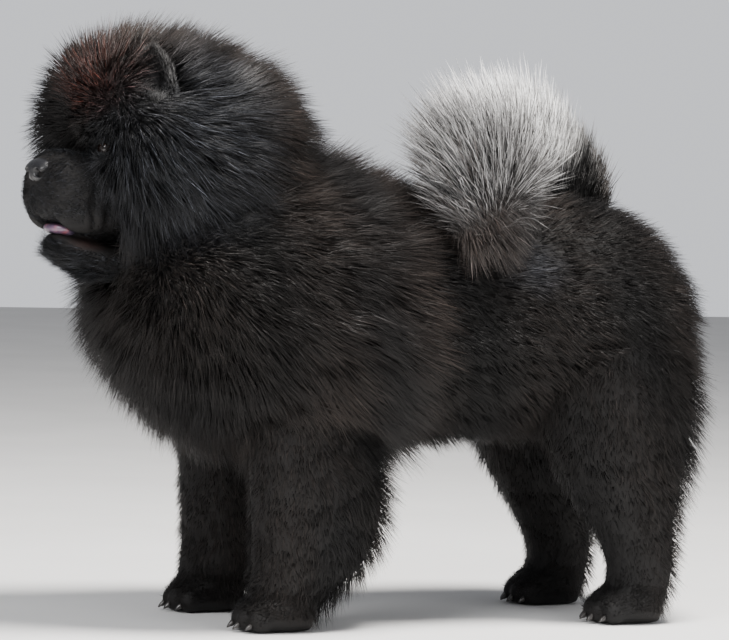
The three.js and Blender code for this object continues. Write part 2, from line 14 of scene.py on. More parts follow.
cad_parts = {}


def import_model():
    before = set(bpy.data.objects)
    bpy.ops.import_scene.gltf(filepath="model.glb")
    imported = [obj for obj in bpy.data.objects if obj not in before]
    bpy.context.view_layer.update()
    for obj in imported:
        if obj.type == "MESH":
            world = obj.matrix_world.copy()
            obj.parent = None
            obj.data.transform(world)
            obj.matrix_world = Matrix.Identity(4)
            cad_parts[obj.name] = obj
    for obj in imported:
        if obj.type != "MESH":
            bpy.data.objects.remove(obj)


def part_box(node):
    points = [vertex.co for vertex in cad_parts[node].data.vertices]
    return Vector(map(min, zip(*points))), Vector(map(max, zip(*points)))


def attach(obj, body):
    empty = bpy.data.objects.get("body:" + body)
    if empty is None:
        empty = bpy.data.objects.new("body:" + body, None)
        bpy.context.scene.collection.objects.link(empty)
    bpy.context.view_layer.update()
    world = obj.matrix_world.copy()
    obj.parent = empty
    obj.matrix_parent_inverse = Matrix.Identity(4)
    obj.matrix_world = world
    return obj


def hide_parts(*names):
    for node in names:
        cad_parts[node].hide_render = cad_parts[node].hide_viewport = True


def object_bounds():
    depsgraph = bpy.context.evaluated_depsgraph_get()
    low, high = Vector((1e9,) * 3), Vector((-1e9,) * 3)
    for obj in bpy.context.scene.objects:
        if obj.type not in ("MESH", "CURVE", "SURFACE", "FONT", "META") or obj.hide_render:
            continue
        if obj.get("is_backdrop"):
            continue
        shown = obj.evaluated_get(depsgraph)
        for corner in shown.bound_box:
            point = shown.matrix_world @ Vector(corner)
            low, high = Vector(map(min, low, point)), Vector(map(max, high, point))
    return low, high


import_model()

CAD_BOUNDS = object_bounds()
MM = 0.001
TURN = 2 * math.pi
TINY = 1e-9
SIDES = (("left", 1), ("right", -1))
rng = np.random.default_rng(11)

# Driving sizes, in millimetres, and angles in degrees
PAW_SPREAD = 100
FRONT_PAW_Y = -228
HIND_PAW_Y = 236
PAW_ENDS = (("front", FRONT_PAW_Y), ("hind", HIND_PAW_Y))
FAR_STEP = 10
HEAD_TURN = math.radians(8)
NECK_PIVOT_Y = -300
EYE = {"x": 40, "y": -448, "z": 559, "radius": 11, "outward": 32}
EAR = {"x": 88, "y": -416, "z": 628, "turn": 24, "splay": 10, "tip": 12}
NOSE = {"y": -509, "z": 531, "across": 24, "deep": 17, "high": 15}

# Lengthwise rows are [y, middle height, half width, up, down].
HEAD_ROWS = [
    [-470, 590, 0, 0, 0],
    [-466, 589, 56, 42, 52],
    [-450, 582, 98, 76, 92],
    [-415, 569, 124, 105, 118],
    [-360, 557, 136, 120, 130],
    [-295, 549, 132, 119, 120],
    [-235, 543, 102, 90, 88],
    [-205, 538, 50, 46, 46],
    [-198, 538, 0, 0, 0],
]
NECK_ROWS = [
    [-410, 396, 0, 0, 0],
    [-404, 395, 68, 52, 44],
    [-378, 388, 126, 104, 84],
    [-318, 375, 160, 166, 132],
    [-250, 368, 172, 192, 150],
    [-180, 366, 170, 180, 152],
    [-110, 364, 160, 160, 148],
    [-60, 364, 120, 120, 110],
    [-50, 364, 0, 0, 0],
]
TRUNK_ROWS = [
    [-190, 366, 0, 0, 0],
    [-180, 366, 110, 110, 110],
    [-120, 365, 150, 152, 147],
    [-40, 366, 149, 151, 143],
    [55, 370, 147, 150, 138],
    [140, 374, 149, 147, 140],
    [220, 370, 147, 136, 142],
    [288, 355, 124, 110, 120],
    [320, 342, 76, 70, 78],
    [327, 339, 0, 0, 0],
]
MUZZLE_ROWS = [
    [-410, 505, 0, 0, 0],
    [-413, 505, 46, 44, 44],
    [-445, 508, 58, 49, 55],
    [-472, 510, 60, 46, 50],
    [-494, 512, 56, 43, 40],
    [-508, 512, 46, 37, 36],
    [-517, 512, 31, 27, 28],
    [-521, 512, 0, 0, 0],
]
JAW_ROWS = [
    [-400, 426, 0, 0, 0],
    [-404, 426, 38, 16, 20],
    [-436, 432, 45, 16, 22],
    [-464, 439, 43, 15, 21],
    [-484, 446, 34, 12, 17],
    [-495, 451, 21, 8, 12],
    [-499, 452, 0, 0, 0],
]
TONGUE_ROWS = [
    [-436, 450, 0, 0, 0],
    [-440, 451, 20, 5, 8],
    [-470, 459, 26, 6, 9],
    [-489, 465, 23, 5, 8],
    [-500, 466, 14, 4, 6],
    [-504, 465, 0, 0, 0],
]
PAW_ROWS = [
    [-44, 18, 0, 0, 0],
    [-41, 19, 22, 14, 22],
    [-26, 23, 37, 20, 27],
    [-4, 26, 41, 25, 30],
    [20, 26, 38, 26, 30],
    [37, 22, 24, 18, 26],
    [41, 21, 0, 0, 0],
]
EAR_ROWS = [
    [-34, 0, 0, 0, 0],
    [-31, 0, 27, 12, 12],
    [0, 0, 32, 14, 13],
    [22, 0, 27, 12, 12],
    [40, 0, 16, 9, 9],
    [48, 0, 8, 5, 5],
    [51, 0, 0, 0, 0],
]
CLAW_ROWS = [
    [-1, 0, 0, 0, 0],
    [0, 0, 3.4, 4.2, 3.6],
    [3.5, -1.4, 2.8, 3.3, 3],
    [6.5, -3.6, 1.8, 2, 1.8],
    [8, -5, 0, 0, 0],
]

# Upright rows are [z, x from the paw, y from the paw, half width, front, back].
FORELEG_ROWS = [
    [310, -14, 12, 0, 0, 0],
    [296, -12, 12, 44, 44, 66],
    [240, -6, 12, 57, 52, 100],
    [180, -1, 12, 56, 47, 114],
    [120, 0, 12, 52, 43, 112],
    [75, 0, 10, 45, 41, 92],
    [45, 0, 6, 39, 40, 58],
    [24, 0, 4, 34, 34, 34],
    [18, 0, 4, 0, 0, 0],
]
HINDLEG_ROWS = [
    [400, -20, -34, 0, 0, 0],
    [386, -18, -34, 42, 52, 62],
    [340, -12, -34, 64, 80, 98],
    [275, -8, -31, 71, 90, 112],
    [205, -4, -24, 65, 76, 96],
    [148, -2, -10, 52, 56, 68],
    [100, 0, 6, 42, 42, 50],
    [66, 0, 14, 39, 38, 42],
    [40, 0, 12, 38, 38, 38],
    [20, 0, 8, 32, 32, 32],
    [14, 0, 8, 0, 0, 0],
]

# Each toe is [x, y, radius] from its paw, and is stretched along y.
TOES = [(-26, -30, 12.5), (-9, -38, 13), (9, -38, 13), (26, -30, 12.5)]
TOE_Z, TOE_HALF_HEIGHT, TOE_STRETCH = 15, 15.5, 1.25
CLAW_Z, CLAW_REACH = 9.0, 1.05

TAIL_PATH = [
    [0, 212, 455],
    [0, 190, 506],
    [8, 144, 538],
    [38, 82, 549],
    [80, 38, 532],
    [112, 15, 498],
    [126, 10, 458],
]
TAIL_RADII = [30, 42, 46, 44, 38, 30, 16]
TAIL_CURL_CENTRE = [50, 98, 418]

# Full places on each side of the face, with their radii: upper lip, hanging lip and brow
FACE_PADS = (
    ((25, -491, 501), (29, 28, 27)),
    ((37, -474, 486), (21, 34, 26)),
    ((34, -452, 583), (30, 22, 13)),
)
# The hollow of an ear's cup, on the leaf before it stands up
EAR_CUP = {"half_width": 17, "middle": 10, "half_height": 24, "depth": 17}

PAW_SQUARE = 2.3

# Small steps along a form (t) and round it (a), for reading its slopes
SLOPE_T, SLOPE_A = 0.02, 0.03
RUN_T, END_T = 0.01, 0.01


def unit(v):
    return v / np.maximum(np.linalg.norm(v, axis=-1, keepdims=True), TINY)


def dot(a, b):
    return np.sum(a * b, -1, keepdims=True)


def rounded(value, power):
    return np.sign(value) * np.abs(value) ** power


def rows_at(rows, t):
    """The rows read as one smooth run, at t from 0 to 1."""
    place = np.clip(t, 0, 1) * (len(rows) - 1)
    i = np.minimum(place.astype(int), len(rows) - 2)
    f = (place - i)[..., None]
    a, b, c, d = (rows[np.clip(i + k, 0, len(rows) - 1)] for k in (-1, 0, 1, 2))
    return b + 0.5 * f * (c - a + f * (2 * a - 5 * b + 4 * c - d + f * (3 * (b - c) + d - a)))


def turned(p, angle):
    """Points turned about the neck's upright pivot."""
    c, s = math.cos(angle), math.sin(angle)
    x, y = p[..., 0], p[..., 1] - NECK_PIVOT_Y
    return np.stack([c * x - s * y, s * x + c * y + NECK_PIVOT_Y, p[..., 2]], -1)


def turn_head(p):
    return turned(p, HEAD_TURN)


def unturn(p):
    return turned(p, -HEAD_TURN)


class Form:
    """A run of oval rings: t goes along it, and a round it.

    a starts at the top of a lengthwise form, and at the front of an upright one. Rings whose square is 2 are
    ovals, and above that they have fuller corners. place moves the points to where they are on the body.
    """

    def __init__(self, rows, square=2.0, lengthwise=True, place=None):
        self.rows = np.array(rows, float)
        self.power = 2 / square
        self.lengthwise = lengthwise
        self.place = place

    def raw(self, t, a):
        r = rows_at(self.rows, t)
        side, rise = rounded(np.sin(a), self.power), rounded(np.cos(a), self.power)
        if self.lengthwise:
            r[..., 2:] = np.maximum(r[..., 2:], 0)
            high = np.where(rise > 0, r[..., 3], r[..., 4])
            return np.stack([r[..., 2] * side, r[..., 0], r[..., 1] + rise * high], -1)
        r[..., 3:] = np.maximum(r[..., 3:], 0)
        far = np.where(rise > 0, r[..., 4], r[..., 5])
        return np.stack([r[..., 1] + r[..., 3] * side, r[..., 2] - rise * far, r[..., 0]], -1)

    def point(self, t, a):
        p = self.raw(np.asarray(t, float), np.asarray(a, float))
        return self.place(p) if self.place else p

    def slopes(self, t, a):
        """The surface's slopes along and around the form, and its outward direction."""
        t0, t1 = np.maximum(t - SLOPE_T, END_T), np.minimum(t + SLOPE_T, 1 - END_T)
        along = (self.point(t1, a) - self.point(t0, a)) / (t1 - t0)[:, None]
        around = (self.point(t, a + SLOPE_A) - self.point(t, a - SLOPE_A)) / (2 * SLOPE_A)
        out = unit(np.cross(along, around))
        across = self.point(t, a) - self.point(t, a + math.pi)
        out *= np.sign(dot(out, across))
        return along, around, out


class Tube(Form):
    """The tail: round rings along a curve, with a = 0 on the outside of its curl."""

    def __init__(self, path, radii, centre):
        super().__init__([[radius] for radius in radii])
        self.path = np.array(path, float)
        self.centre = np.array(centre, float)

    def point(self, t, a):
        t, a = np.asarray(t, float), np.asarray(a, float)
        middle = rows_at(self.path, t)
        after, before = np.minimum(t + RUN_T, 1), np.maximum(t - RUN_T, 0)
        run = unit(rows_at(self.path, after) - rows_at(self.path, before))
        away = middle - self.centre
        away = unit(away - run * dot(away, run))
        side = np.cross(run, away)
        radius = rows_at(self.rows, t)
        return middle + radius * (away * np.cos(a)[..., None] + side * np.sin(a)[..., None])


def eye_place(side):
    return turn_head(np.array([side * EYE["x"], EYE["y"], EYE["z"]], float))


def eye_axes(side):
    """An eye's own directions: where it looks, across it, and up it."""
    outward = math.radians(EYE["outward"])
    pivot = np.array([0.0, NECK_PIVOT_Y, 0.0])
    gaze = turn_head(pivot + np.array([side * math.sin(outward), -math.cos(outward), 0.0])) - turn_head(pivot)
    gaze = unit(gaze)
    wide = unit(np.cross(np.array([0, 0, 1.0]), gaze))
    return gaze, wide, np.cross(gaze, wide)


def ear_points(side, points):
    """Points on an ear's flat leaf, moved to where they are once it stands on the head."""
    turn, splay, tip = (math.radians(EAR[key]) for key in ("turn", "splay", "tip"))
    spin = Matrix.Rotation(side * turn, 3, "Z") @ Matrix.Rotation(side * splay, 3, "Y")
    spin = spin @ Matrix.Rotation(tip, 3, "X")
    stood = np.stack([points[:, 0], -points[:, 2], points[:, 1]], -1)
    return turn_head(stood @ np.array(spin).T + np.array([side * EAR["x"], EAR["y"], EAR["z"]]))


def paw_middle(side, paw_y):
    """A paw's place: the right ones stand a little further forward."""
    return np.array([side * PAW_SPREAD, paw_y - (FAR_STEP if side < 0 else 0), 0])


def leg_forms(rows, paw_y):
    legs = {}
    for name, side in SIDES:
        _, y, _ = paw_middle(side, paw_y)
        placed = [[r[0], side * (PAW_SPREAD + r[1]), y + r[2], *r[3:]] for r in rows]
        legs[name] = Form(placed, lengthwise=False)
    return legs


# The part's origin is under the middle of its box. The left eye shows how far it was moved for that.
EYE_LOW, EYE_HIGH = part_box("eye_left")
ORIGIN = (np.array(EYE_LOW) + np.array(EYE_HIGH)) / 2 - eye_place(1) * MM
ORIGIN[2] = 0.0


def metres(p):
    return np.asarray(p, float) * MM + ORIGIN


def millimetres(p):
    return (p - ORIGIN) / MM


HEAD = Form(HEAD_ROWS, place=turn_head)
NECK = Form(NECK_ROWS)
TRUNK = Form(TRUNK_ROWS)
MUZZLE = Form(MUZZLE_ROWS, square=2.3, place=turn_head)
JAW = Form(JAW_ROWS, square=2.2, place=turn_head)
TONGUE = Form(TONGUE_ROWS, square=2.4, place=turn_head)
TAIL = Tube(TAIL_PATH, TAIL_RADII, TAIL_CURL_CENTRE)
FORELEGS = leg_forms(FORELEG_ROWS, FRONT_PAW_Y)
THIGHS = leg_forms(HINDLEG_ROWS, HIND_PAW_Y)


# Meshes

def new_object(name, data):
    made = bpy.data.objects.new(name, data)
    bpy.context.scene.collection.objects.link(made)
    return made


def mesh_object(name, verts, faces, smooth=True):
    mesh = bpy.data.meshes.new(name)
    mesh.from_pydata([tuple(v) for v in verts], [], faces)
    mesh.validate()
    piece = new_object(name, mesh)
    if smooth:
        mesh.polygons.foreach_set("use_smooth", [True] * len(mesh.polygons))
    return piece


def dress(piece, material, slot):
    piece.data.materials.append(material)
    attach(piece, "root")


def coordinates(mesh):
    co = np.zeros(len(mesh.vertices) * 3)
    mesh.vertices.foreach_get("co", co)
    return co.reshape(-1, 3)


def colour_points(piece, colours):
    layer = piece.data.color_attributes.new("coat_colour", "FLOAT_COLOR", "POINT")
    values = np.column_stack([colours, np.ones(len(colours))])
    layer.data.foreach_set("color", values.astype(np.float32).ravel())


def ring_faces(rings, sides, joined=False):
    """The faces between rings of points, and from the last ring to the first where they are joined."""
    faces = []
    for i in range(rings if joined else rings - 1):
        here, there = i * sides, (i + 1) % rings * sides
        for k in range(sides):
            m = (k + 1) % sides
            faces.append((here + k, here + m, there + m, there + k))
    return faces


def form_mesh(form, steps=28, sides=36):
    """The closed skin of a form, as points in millimetres and faces."""
    t = np.linspace(0, 1, steps + 1)[1:-1]
    a = np.arange(sides) * TURN / sides
    tt, aa = np.meshgrid(t, a, indexing="ij")
    ends = [form.point(np.full(2, e), np.array([0, math.pi])).mean(0) for e in (0.0, 1.0)]
    verts = np.vstack([form.point(tt, aa).reshape(-1, 3), ends])
    rings = len(t)
    faces = ring_faces(rings, sides)
    first, last, base = rings * sides, rings * sides + 1, (rings - 1) * sides
    faces += [(first, (k + 1) % sides, k) for k in range(sides)]
    faces += [(last, base + k, base + (k + 1) % sides) for k in range(sides)]
    return verts, faces


def ball_mesh(centre, radii, across=24, up=16):
    bm = bmesh.new()
    bmesh.ops.create_uvsphere(bm, u_segments=across, v_segments=up, radius=1)
    verts = np.array([v.co for v in bm.verts]) * np.array(radii)
    faces = [tuple(v.index for v in f.verts) for f in bm.faces]
    bm.free()
    return verts + np.array(centre), faces


def merged(parts):
    """Several (points, faces) as one, in metres."""
    verts, faces, start = [], [], 0
    for points, polys in parts:
        verts.append(points)
        faces += [tuple(start + k for k in poly) for poly in polys]
        start += len(points)
    return metres(np.vstack(verts)), faces


def apply_modifiers(piece):
    graph = bpy.context.evaluated_depsgraph_get()
    made = bpy.data.meshes.new_from_object(piece.evaluated_get(graph))
    piece.modifiers.clear()
    piece.data = made


# The camera stands at the photograph's place: 25 degrees forward of square to the dog's left side.
PHOTO_WIDTH, PHOTO_HEIGHT = 729, 640
VIEW_PSI = math.radians(25)
VIEW_ROLL = math.radians(1.75)
VIEW_DISTANCE = 4.5
VIEW_HEIGHT = 0.54
FOCAL_PIXELS = 3690
LEVEL_X, LEVEL_Y = 435.7, 161.5  # the pixel that looks level along the view, before the roll
SENSOR_MM = 36


def make_camera():
    right = Vector((math.sin(VIEW_PSI), math.cos(VIEW_PSI), 0))
    away = Vector((-math.cos(VIEW_PSI), math.sin(VIEW_PSI), 0))
    up = Vector((0, 0, 1))
    c, s = math.cos(VIEW_ROLL), math.sin(VIEW_ROLL)
    mid_x, mid_y = PHOTO_WIDTH / 2, PHOTO_HEIGHT / 2
    flat_x, flat_y = c * mid_x + s * mid_y, -s * mid_x + c * mid_y
    aim = away + right * ((flat_x - LEVEL_X) / FOCAL_PIXELS) + up * ((LEVEL_Y - flat_y) / FOCAL_PIXELS)
    back = -aim.normalized()
    level_right = up.cross(back).normalized()
    level_up = back.cross(level_right)
    cam_right = level_right * c + level_up * s
    cam_up = level_up * c - level_right * s
    data = bpy.data.cameras.new("camera")
    data.sensor_width = SENSOR_MM
    data.lens = SENSOR_MM * FOCAL_PIXELS / PHOTO_WIDTH
    data.clip_end = 60
    camera = new_object("camera", data)
    place = Vector(ORIGIN) - away * VIEW_DISTANCE + up * VIEW_HEIGHT
    camera.matrix_world = Matrix.Translation(place) @ Matrix((cam_right, cam_up, back)).transposed().to_4x4()
    bpy.context.scene.camera = camera


# Materials

class Look:
    """A material, with the few kinds of nodes that the looks are made of."""

    def __init__(self, name):
        self.material = bpy.data.materials.new(name)
        self.material.use_nodes = True
        self.tree = self.material.node_tree
        self.shader = self.tree.nodes["Principled BSDF"]

    def node(self, kind, **values):
        node = self.tree.nodes.new(kind)
        self.fill(node, values)
        return node

    def fill(self, node, values):
        for name, value in values.items():
            node.inputs[name].default_value = value

    def link(self, output, node, name):
        self.tree.links.new(output, node.inputs[name])

    def base(self, colour):
        self.link(colour, self.shader, "Base Color")

    def shine(self, roughness, specular=0.5, gloss=0.0, gloss_roughness=0.05):
        """How rough and how shiny it is, under a clear layer where gloss is above 0."""
        self.fill(self.shader, {"Roughness": roughness, "Specular IOR Level": specular})
        self.fill(self.shader, {"Coat Weight": gloss, "Coat Roughness": gloss_roughness})

    def texture(self, kind, **values):
        node = self.node(kind, **values)
        self.link(self.node("ShaderNodeTexCoord").outputs["Object"], node, "Vector")
        return node

    def noise(self, scale, detail=4):
        return self.texture("ShaderNodeTexNoise", Scale=scale, Detail=detail).outputs["Fac"]

    def mottle(self, scale, *stops):
        """A noise that is read as a colour, from stops of (value, colour)."""
        ramp = self.node("ShaderNodeValToRGB")
        while len(ramp.color_ramp.elements) < len(stops):
            ramp.color_ramp.elements.new(0.5)
        for element, (place, colour) in zip(ramp.color_ramp.elements, stops):
            element.position = place
            element.color = (*colour, 1)
        self.link(self.noise(scale), ramp, "Fac")
        return ramp.outputs["Color"]

    def markings(self):
        colour = self.node("ShaderNodeAttribute")
        colour.attribute_name = "coat_colour"
        return colour.outputs["Color"]

    def bump(self, height, strength, distance):
        bump = self.node("ShaderNodeBump", Strength=strength, Distance=distance)
        self.link(height, bump, "Height")
        self.link(bump.outputs["Normal"], self.shader, "Normal")


def coat_material():
    look = Look("coat_hair")
    look.base(look.markings())
    look.shine(0.42, specular=0.22)
    return look.material


def skin_material():
    look = Look("skin")
    mix = look.node("ShaderNodeMix")
    mix.data_type = "RGBA"
    mix.blend_type = "MULTIPLY"
    mix.inputs["Factor"].default_value = 1
    look.link(look.markings(), mix, "A")
    look.link(look.mottle(160, (0.3, (0.55, 0.55, 0.56)), (0.7, (1, 1, 1))), mix, "B")
    look.base(mix.outputs["Result"])
    look.shine(0.7, specular=0.25)
    look.bump(look.noise(900, 2), 0.5, 0.0008)
    return look.material


def nose_material():
    look = Look("nose_leather")
    look.base(look.mottle(90, (0.3, (0.004, 0.004, 0.005)), (0.8, (0.009, 0.009, 0.011))))
    look.shine(0.36, specular=0.3, gloss=0.3, gloss_roughness=0.14)
    cells = look.texture("ShaderNodeTexVoronoi", Scale=950)
    look.bump(cells.outputs["Distance"], 0.55, 0.0006)
    return look.material


def tongue_material():
    look = Look("tongue_skin")
    stops = ((0.3, (0.035, 0.035, 0.06)), (0.6, (0.10, 0.06, 0.10)), (0.8, (0.36, 0.10, 0.11)))
    look.base(look.mottle(55, *stops))
    look.shine(0.28, gloss=0.5, gloss_roughness=0.15)
    look.bump(look.noise(1300, 2), 0.4, 0.0005)
    return look.material


def simple_material(name, dark, light, scale, roughness, gloss=0.0):
    look = Look(name)
    look.base(look.mottle(scale, (0.3, dark), (0.7, light)))
    look.shine(roughness, gloss=gloss)
    return look.material


# Markings and painted glints: colours of the skin and the tufts, most of them by the place on the body
BLACK_ROOT = np.array([0.0040, 0.0038, 0.0040])
BLACK_TIP = np.array([0.0085, 0.0077, 0.0077])
BROWN_TIP = np.array([0.050, 0.036, 0.029])
# Painted highlights: bluish and brownish glints that are added to the hair's tip colour
BLUE_GLINT = np.array([0.026, 0.030, 0.038])
BROWN_GLINT = np.array([0.030, 0.018, 0.013])
RUST = np.array([0.075, 0.014, 0.008])
SILVER = np.array([0.27, 0.265, 0.265])
WHITE = np.array([0.93, 0.92, 0.91])
GUM = np.array([0.022, 0.011, 0.0095])
FACE_BLACK = np.array([0.0075, 0.008, 0.0095])

# Marks and painted glints, as a place on the body and how far each reaches along x, y and z, in millimetres
FOREHEAD_RUST = ((55, -460, 633), (66, 54, 44))
# The cheek, flank and back places are painted glints: highlights put into the hair's colour.
CHEEK_PAINTED_GLINT = ((110, -380, 560), (90, 110, 130))
FLANK_PAINTED_GLINT = ((150, 60, 438), (70, 52, 38))
BACK_PAINTED_GLINT = ((125, -15, 495), (90, 80, 60))
GUM_CORNER = ((36, -466, 449), (20, 30, 11))

# Waves of brown and white, as (share, size in millimetres, seed)
BROWN_WAVES = ((0.35, 120, 3),)
WHITE_WAVES = ((0.2, 60, 5),)
RIPPLE_PARTS, RIPPLE_HEIGHT, RIPPLE_SIZES = 5, 2.6, (0.7, 1.5)
NEAR_POWER = 0.7

# Brown rises up the body, and white up and back along the plume: (start, span) in millimetres
BROWN_UP, WHITE_UP, WHITE_BACK = (520, 150), (530, 70), (55, 90)
BROWN_LEAST, BROWN_RISE, BROWN_SHARE, RUST_SHARE = 0.3, 0.4, 0.55, 0.62
SKIN_DARKNESS, SKIN_TINT = 0.9, 0.25
FLANK_STRENGTH, MOST_BLUE_GLINT = 1.4, 1.6
# Painted glints on the face: the share of its tufts that are made brighter, and how many times brighter
FACE_GLINT_SHARE, FACE_GLINT_STRENGTH = 0.17, 10


def near(p, centre, reach):
    """1 at a place on the body, in millimetres, falling smoothly to 0 at its reach."""
    d = np.linalg.norm((p - np.array(centre)) / np.array(reach), axis=-1)
    return np.clip(1 - d, 0, 1) ** NEAR_POWER


def past(value, start, span):
    return (value - start) / span


def ripple(p, size, seed):
    """A smooth wandering value from about -1 to 1 with waves of about the given size, in millimetres."""
    draw = np.random.default_rng(seed)
    total = 0
    for _ in range(RIPPLE_PARTS):
        direction = unit(draw.normal(size=3))
        wave = p @ direction * TURN / (size * draw.uniform(*RIPPLE_SIZES))
        total = total + np.sin(wave + draw.uniform(0, TURN))
    return total / RIPPLE_HEIGHT


def waves(p, parts, start=0):
    """Ripples of several sizes, added to start."""
    return sum((share * ripple(p, size, seed) for share, size, seed in parts), start)


def tip_colour(p, plume):
    """The colour of the hair's tips at points p, where plume is 1 on the silver part of the tail, with
    painted highlights on the cheek, flank and back.
    """
    glint_share = near(p, *CHEEK_PAINTED_GLINT)
    brown = waves(p, BROWN_WAVES, BROWN_LEAST) + BROWN_RISE * np.clip(past(p[..., 2], *BROWN_UP), 0, 1)
    brown = np.clip(brown - glint_share, 0, 1)[..., None]
    colour = BLACK_TIP * (1 - brown * BROWN_SHARE) + BROWN_TIP * brown * BROWN_SHARE
    # Painted highlights: bluish glints on the cheek and flank, and brownish ones on the back
    glint_share = np.clip(glint_share + FLANK_STRENGTH * near(p, *FLANK_PAINTED_GLINT), 0, MOST_BLUE_GLINT)
    colour = colour + BLUE_GLINT * glint_share[..., None]
    colour = colour + BROWN_GLINT * near(p, *BACK_PAINTED_GLINT)[..., None]
    colour = colour + (RUST - colour) * (near(p, *FOREHEAD_RUST) * RUST_SHARE)[..., None]
    grey = np.clip(plume, 0, 1)[..., None]
    white = waves(p, WHITE_WAVES) + past(p[..., 2], *WHITE_UP) + past(p[..., 1], *WHITE_BACK)
    white = np.clip(white, 0, 1)[..., None]
    return colour + (SILVER * (1 - white) + WHITE * white - colour) * grey


def skin_colour(p):
    """Near black, tinted a little by the hair's tip colour and its painted glints, with dim reddish gums in
    the corners of the mouth.
    """
    (x, y, z), reach = GUM_CORNER
    gum = sum(near(unturn(p), (side * x, y, z), reach) for _, side in SIDES)
    colour = BLACK_ROOT * SKIN_DARKNESS + SKIN_TINT * (tip_colour(p, np.zeros(len(p))) - BLACK_ROOT)
    return colour + (GUM - colour) * np.clip(gum, 0, 1)[..., None]


def face_colour(p, plume):
    # Painted highlights: a share of the face's tufts are made many times brighter, as glints
    glint_tufts = np.where(rng.random(len(p)) < FACE_GLINT_SHARE, FACE_GLINT_STRENGTH, 1)[:, None]
    return FACE_BLACK * glint_tufts


# One skin over all the flesh

SKIN_VOXEL = 0.0042
SKIN_LOWEST = 0.0008
CLAW_LOWEST = 0.0005
SOLE_LOWEST_MM = 0.3

# The socket that the skin is pressed into round each eye, in millimetres. Its floor rises towards its edge.
SOCKET = {"half_width": 21, "half_height": 13.5, "edge": 1.6, "floor": 2.5, "rise": 13, "power": 1.3}
SOCKET_REACH = 40

# The creases behind the hanging lips, as [y, z] before the head is turned, in millimetres
LIP_FOLDS = (
    ((-469, 516), (-474, 490), (-467, 466)),
    ((-449, 512), (-452, 488), (-449, 466)),
)
FOLD_DEPTH, FOLD_HALF_WIDTH, FOLD_FROM_X, FOLD_TO_X = 5.0, 3.4, 30, 70

# The lids, in millimetres. They lie on a ball a little larger than the eye.
LID_STEPS, LID_SIDES = 40, 10
LID_HALF_WIDTH, LID_HALF_HEIGHT = 11.8, 6.4
LID_UPPER, LID_LOWER, LID_MIDDLE = 0.95, 0.85, 0.6
LID_BALL, LID_BALL_WIDE, LID_BALL_HIGH = 11.6, 0.75, 6
LID_LEAST, LID_FORWARD, LID_STEEPNESS = 4.0, 0.4, 1.4
LID_THICK, LID_THICKER_ABOVE, LID_OUTSET, LID_FLATNESS = 2.6, 1.5, 0.8, 0.8


def skin_parts():
    forms = (HEAD, NECK, TRUNK, MUZZLE, JAW, TAIL, *FORELEGS.values(), *THIGHS.values())
    solids = [form_mesh(form) for form in forms]
    for _, side in SIDES:
        for (x, y, z), radii in FACE_PADS:
            solids.append(ball_mesh(turn_head(np.array([side * x, y, z], float)), radii))
        solids.append(cupped_ear(side))
        for _, paw_y in PAW_ENDS:
            middle = paw_middle(side, paw_y)
            verts, faces = form_mesh(Form(PAW_ROWS, PAW_SQUARE), steps=12, sides=20)
            solids.append((verts + middle, faces))
            for x, y, r in TOES:
                centre = middle + np.array([x, y, TOE_Z])
                solids.append(ball_mesh(centre, (r, r * TOE_STRETCH, TOE_HALF_HEIGHT), across=16, up=12))
    return solids


def cupped_ear(side):
    verts, faces = form_mesh(Form(EAR_ROWS), steps=14, sides=20)
    across = (verts[:, 0] / EAR_CUP["half_width"]) ** 2
    up = ((verts[:, 1] - EAR_CUP["middle"]) / EAR_CUP["half_height"]) ** 2
    verts[:, 2] -= np.where(verts[:, 2] > 0, EAR_CUP["depth"] * np.exp(-across - up), 0)
    return ear_points(side, verts), faces


def make_skin():
    verts, faces = merged(skin_parts())
    verts[:, 2] = np.maximum(verts[:, 2], SKIN_LOWEST)
    skin = mesh_object("skin", verts, faces)
    remesh = skin.modifiers.new("remesh", "REMESH")
    remesh.mode = "VOXEL"
    remesh.voxel_size = SKIN_VOXEL
    smooth = skin.modifiers.new("smooth", "SMOOTH")
    smooth.factor = 0.5
    smooth.iterations = 3
    apply_modifiers(skin)
    p = press_folds(press_eyes(millimetres(coordinates(skin.data))))
    p[:, 2] = np.maximum(p[:, 2], SOLE_LOWEST_MM)
    skin.data.vertices.foreach_set("co", metres(p).ravel())
    skin.data.update()
    join_lids(skin)
    colour_points(skin, skin_colour(millimetres(coordinates(skin.data))))
    skin.data.polygons.foreach_set("use_smooth", [True] * len(skin.data.polygons))
    skin.data.materials.clear()
    dress(skin, skin_material(), "short_fur")
    limbs = [f"{part}_{end}_{name}" for part in ("leg", "paw") for end, _ in PAW_ENDS for name, _ in SIDES]
    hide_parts("head", "neck", "torso", "tail", "muzzle", "lower_jaw", "ear_left", "ear_right", *limbs)
    return skin


def press_eyes(p):
    """Moves the skin back round each eye, so that the eye sits deep between brow and cheek."""
    for _, side in SIDES:
        gaze, wide, high = eye_axes(side)
        away = p - eye_place(side)
        depth, across, up = away @ gaze, away @ wide, away @ high
        ring = (across / SOCKET["half_width"]) ** 2 + (up / SOCKET["half_height"]) ** 2
        floor = SOCKET["floor"] + SOCKET["rise"] * np.clip(ring, 0, SOCKET["edge"]) ** SOCKET["power"]
        pressed = (ring < SOCKET["edge"]) & (depth > floor) & (depth < SOCKET_REACH)
        p[pressed] -= gaze * (depth - floor)[pressed, None]
    return p


def press_folds(p):
    q = unturn(p)
    for fold in LIP_FOLDS:
        line = np.array(fold, float)
        z = np.clip(q[:, 2], line[-1, 1], line[0, 1])
        y = np.interp(z, line[::-1, 1], line[::-1, 0])
        away = np.hypot(q[:, 1] - y, q[:, 2] - z)
        side = (np.abs(q[:, 0]) > FOLD_FROM_X) & (np.abs(q[:, 0]) < FOLD_TO_X)
        depth = np.where(side, FOLD_DEPTH * np.exp(-((away / FOLD_HALF_WIDTH) ** 2)), 0)
        q[:, 0] -= np.sign(q[:, 0]) * depth
    return turn_head(q)


